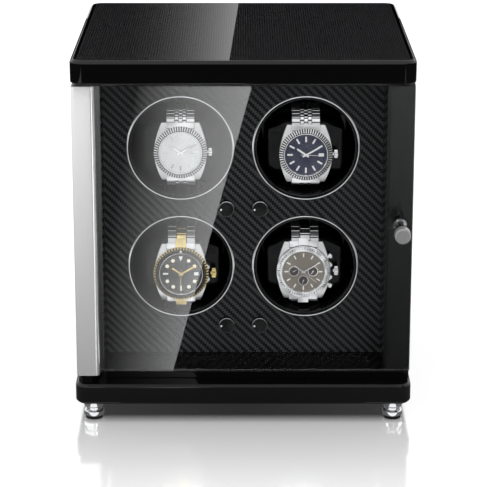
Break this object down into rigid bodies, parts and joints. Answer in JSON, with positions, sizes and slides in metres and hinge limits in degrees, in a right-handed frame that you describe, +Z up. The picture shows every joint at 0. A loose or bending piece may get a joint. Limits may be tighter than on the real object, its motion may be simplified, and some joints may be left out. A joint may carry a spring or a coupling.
{
  "type": "watch winder box",
  "caption": "Lacquered cabinet with a glass door on a metal hinge post; watches on cushions turn in belt-driven cups behind it.",
  "frame": {"origin": "bottom centre of the whole object's box, on the surface it stands on; the box takes in the door knob", "axes": "+Z up, -Y out of the door, +X to the right seen from the front"},
  "size_m": [0.2586, 0.259, 0.285],
  "materials": {
    "lacquer": "black piano lacquer over fibreboard, polished",
    "inlay": "dark twill-weave laminate under clear coat",
    "panel_laminate": "dark diagonal twill-weave laminate under clear coat",
    "chassis_plastic": "moulded dark grey",
    "cover_plastic": "fine textured black",
    "dark_screw": "blackened",
    "zinc_screw": "zinc plated",
    "foot_chrome": "polished",
    "pad_rubber": "matt",
    "pivot_steel": "blackened, smooth",
    "magnet": "nickel plated",
    "inlet_plastic": "moulded black",
    "board": "green solder mask",
    "ring_chrome": "polished",
    "spindle_steel": "ground",
    "belt_rubber": "matt",
    "switch_plastic": "moulded blue",
    "motor_steel": "zinc plated can",
    "pulley_brass": "turned",
    "cup_gloss": "gloss black",
    "cushion_cover": "soft black, fine grain",
    "watch_silver": "brushed and polished steel, light dial",
    "watch_blue": "brushed and polished steel, blue dial",
    "watch_two_tone": "steel and gold tone, black dial",
    "watch_grey": "brushed and polished steel, warm grey dial",
    "dial_black": "gloss black with a white dot",
    "glass": "clear",
    "post_aluminium": "satin anodised",
    "strip_black": "black",
    "knob_metal": "satin chrome",
    "collar_black": "black"
  },
  "bodies": {
    "root": {"lid_board": "lacquer", "lid_inlay": "inlay", "side_panel_left": "lacquer", "side_panel_right": "lacquer", "plinth": "lacquer", "deck_board": "lacquer", "rotor_panel": "panel_laminate", "drive_chassis": "chassis_plastic", "back_panel": "lacquer", "rear_cover": "cover_plastic", "rear_cover_screws": "dark_screw", "foot_front_left": "foot_chrome", "foot_front_right": "foot_chrome", "foot_rear_left": "foot_chrome", "foot_rear_right": "foot_chrome", "foot_pads": "pad_rubber", "plinth_screws": "zinc_screw", "pivot_lower": "pivot_steel", "pivot_upper": "pivot_steel", "catch_magnet": "magnet", "door_bumpers": "pad_rubber", "power_inlet": "inlet_plastic", "control_board": "board", "trim_rings": "ring_chrome", "rotor_spindles": "spindle_steel", "rotor_screws": "zinc_screw", "drive_belts": "belt_rubber", "dial_switches": "switch_plastic", "chassis_screws": "zinc_screw", "motor_upper_left": "motor_steel", "motor_upper_right": "motor_steel", "motor_lower_left": "motor_steel", "motor_lower_right": "motor_steel"},
    "door": {"door_glass": "glass", "hinge_post": "post_aluminium", "handle_strip": "strip_black", "strike_plate": "magnet", "door_knob": "knob_metal", "knob_collar": "collar_black", "knob_screw": "zinc_screw"},
    "rotor_upper_left": {"cup_upper_left": "cup_gloss"},
    "holder_upper_left": {"cushion_upper_left": "cushion_cover", "watch_upper_left": "watch_silver"},
    "motor_drive_upper_left": {"pulley_upper_left": "pulley_brass"},
    "setting_dial_upper_left": {"dial_upper_left": "dial_black"},
    "rotor_upper_right": {"cup_upper_right": "cup_gloss"},
    "holder_upper_right": {"cushion_upper_right": "cushion_cover", "watch_upper_right": "watch_blue"},
    "motor_drive_upper_right": {"pulley_upper_right": "pulley_brass"},
    "setting_dial_upper_right": {"dial_upper_right": "dial_black"},
    "rotor_lower_left": {"cup_lower_left": "cup_gloss"},
    "holder_lower_left": {"cushion_lower_left": "cushion_cover", "watch_lower_left": "watch_two_tone"},
    "motor_drive_lower_left": {"pulley_lower_left": "pulley_brass"},
    "setting_dial_lower_left": {"dial_lower_left": "dial_black"},
    "rotor_lower_right": {"cup_lower_right": "cup_gloss"},
    "holder_lower_right": {"cushion_lower_right": "cushion_cover", "watch_lower_right": "watch_grey"},
    "motor_drive_lower_right": {"pulley_lower_right": "pulley_brass"},
    "setting_dial_lower_right": {"dial_lower_right": "dial_black"}
  },
  "joints": [
    {"name": "door_hinge", "type": "hinge", "parent": "root", "child": "door", "pos_m": [-0.11925, -0.0925, 0.031], "axis": [0, 0, -1], "range_deg": [0, 100]},
    {"name": "rotor_spin_upper_left", "type": "hinge", "parent": "root", "child": "rotor_upper_left", "pos_m": [-0.0485, -0.0495, 0.2045], "axis": [0, 1, 0], "continuous": true},
    {"name": "cushion_pull_upper_left", "type": "slide", "parent": "rotor_upper_left", "child": "holder_upper_left", "axis": [0, -1, 0], "range_m": [0, 0.038]},
    {"name": "motor_spin_upper_left", "type": "hinge", "parent": "root", "child": "motor_drive_upper_left", "pos_m": [-0.0485, -0.0495, 0.1685], "axis": [0, 1, 0], "continuous": true},
    {"name": "dial_turn_upper_left", "type": "hinge", "parent": "root", "child": "setting_dial_upper_left", "pos_m": [-0.013, -0.0495, 0.15675], "axis": [0, 1, 0], "range_deg": [0, 270]},
    {"name": "rotor_spin_upper_right", "type": "hinge", "parent": "root", "child": "rotor_upper_right", "pos_m": [0.0485, -0.0495, 0.2045], "axis": [0, 1, 0], "continuous": true},
    {"name": "cushion_pull_upper_right", "type": "slide", "parent": "rotor_upper_right", "child": "holder_upper_right", "axis": [0, -1, 0], "range_m": [0, 0.038]},
    {"name": "motor_spin_upper_right", "type": "hinge", "parent": "root", "child": "motor_drive_upper_right", "pos_m": [0.0485, -0.0495, 0.1685], "axis": [0, 1, 0], "continuous": true},
    {"name": "dial_turn_upper_right", "type": "hinge", "parent": "root", "child": "setting_dial_upper_right", "pos_m": [0.013, -0.0495, 0.15675], "axis": [0, 1, 0], "range_deg": [0, 270]},
    {"name": "rotor_spin_lower_left", "type": "hinge", "parent": "root", "child": "rotor_lower_left", "pos_m": [-0.0485, -0.0495, 0.109], "axis": [0, 1, 0], "continuous": true},
    {"name": "cushion_pull_lower_left", "type": "slide", "parent": "rotor_lower_left", "child": "holder_lower_left", "axis": [0, -1, 0], "range_m": [0, 0.038]},
    {"name": "motor_spin_lower_left", "type": "hinge", "parent": "root", "child": "motor_drive_lower_left", "pos_m": [-0.0485, -0.0495, 0.073], "axis": [0, 1, 0], "continuous": true},
    {"name": "dial_turn_lower_left", "type": "hinge", "parent": "root", "child": "setting_dial_lower_left", "pos_m": [-0.013, -0.0495, 0.06125], "axis": [0, 1, 0], "range_deg": [0, 270]},
    {"name": "rotor_spin_lower_right", "type": "hinge", "parent": "root", "child": "rotor_lower_right", "pos_m": [0.0485, -0.0495, 0.109], "axis": [0, 1, 0], "continuous": true},
    {"name": "cushion_pull_lower_right", "type": "slide", "parent": "rotor_lower_right", "child": "holder_lower_right", "axis": [0, -1, 0], "range_m": [0, 0.038]},
    {"name": "motor_spin_lower_right", "type": "hinge", "parent": "root", "child": "motor_drive_lower_right", "pos_m": [0.0485, -0.0495, 0.073], "axis": [0, 1, 0], "continuous": true},
    {"name": "dial_turn_lower_right", "type": "hinge", "parent": "root", "child": "setting_dial_lower_right", "pos_m": [0.013, -0.0495, 0.06125], "axis": [0, 1, 0], "range_deg": [0, 270]}
  ],
  "couplings": [
    {"joint": "motor_spin_upper_left", "follows": "rotor_spin_upper_left", "ratio": 2.8367},
    {"joint": "motor_spin_upper_right", "follows": "rotor_spin_upper_right", "ratio": 2.8367},
    {"joint": "motor_spin_lower_left", "follows": "rotor_spin_lower_left", "ratio": 2.8367},
    {"joint": "motor_spin_lower_right", "follows": "rotor_spin_lower_right", "ratio": 2.8367}
  ]
}
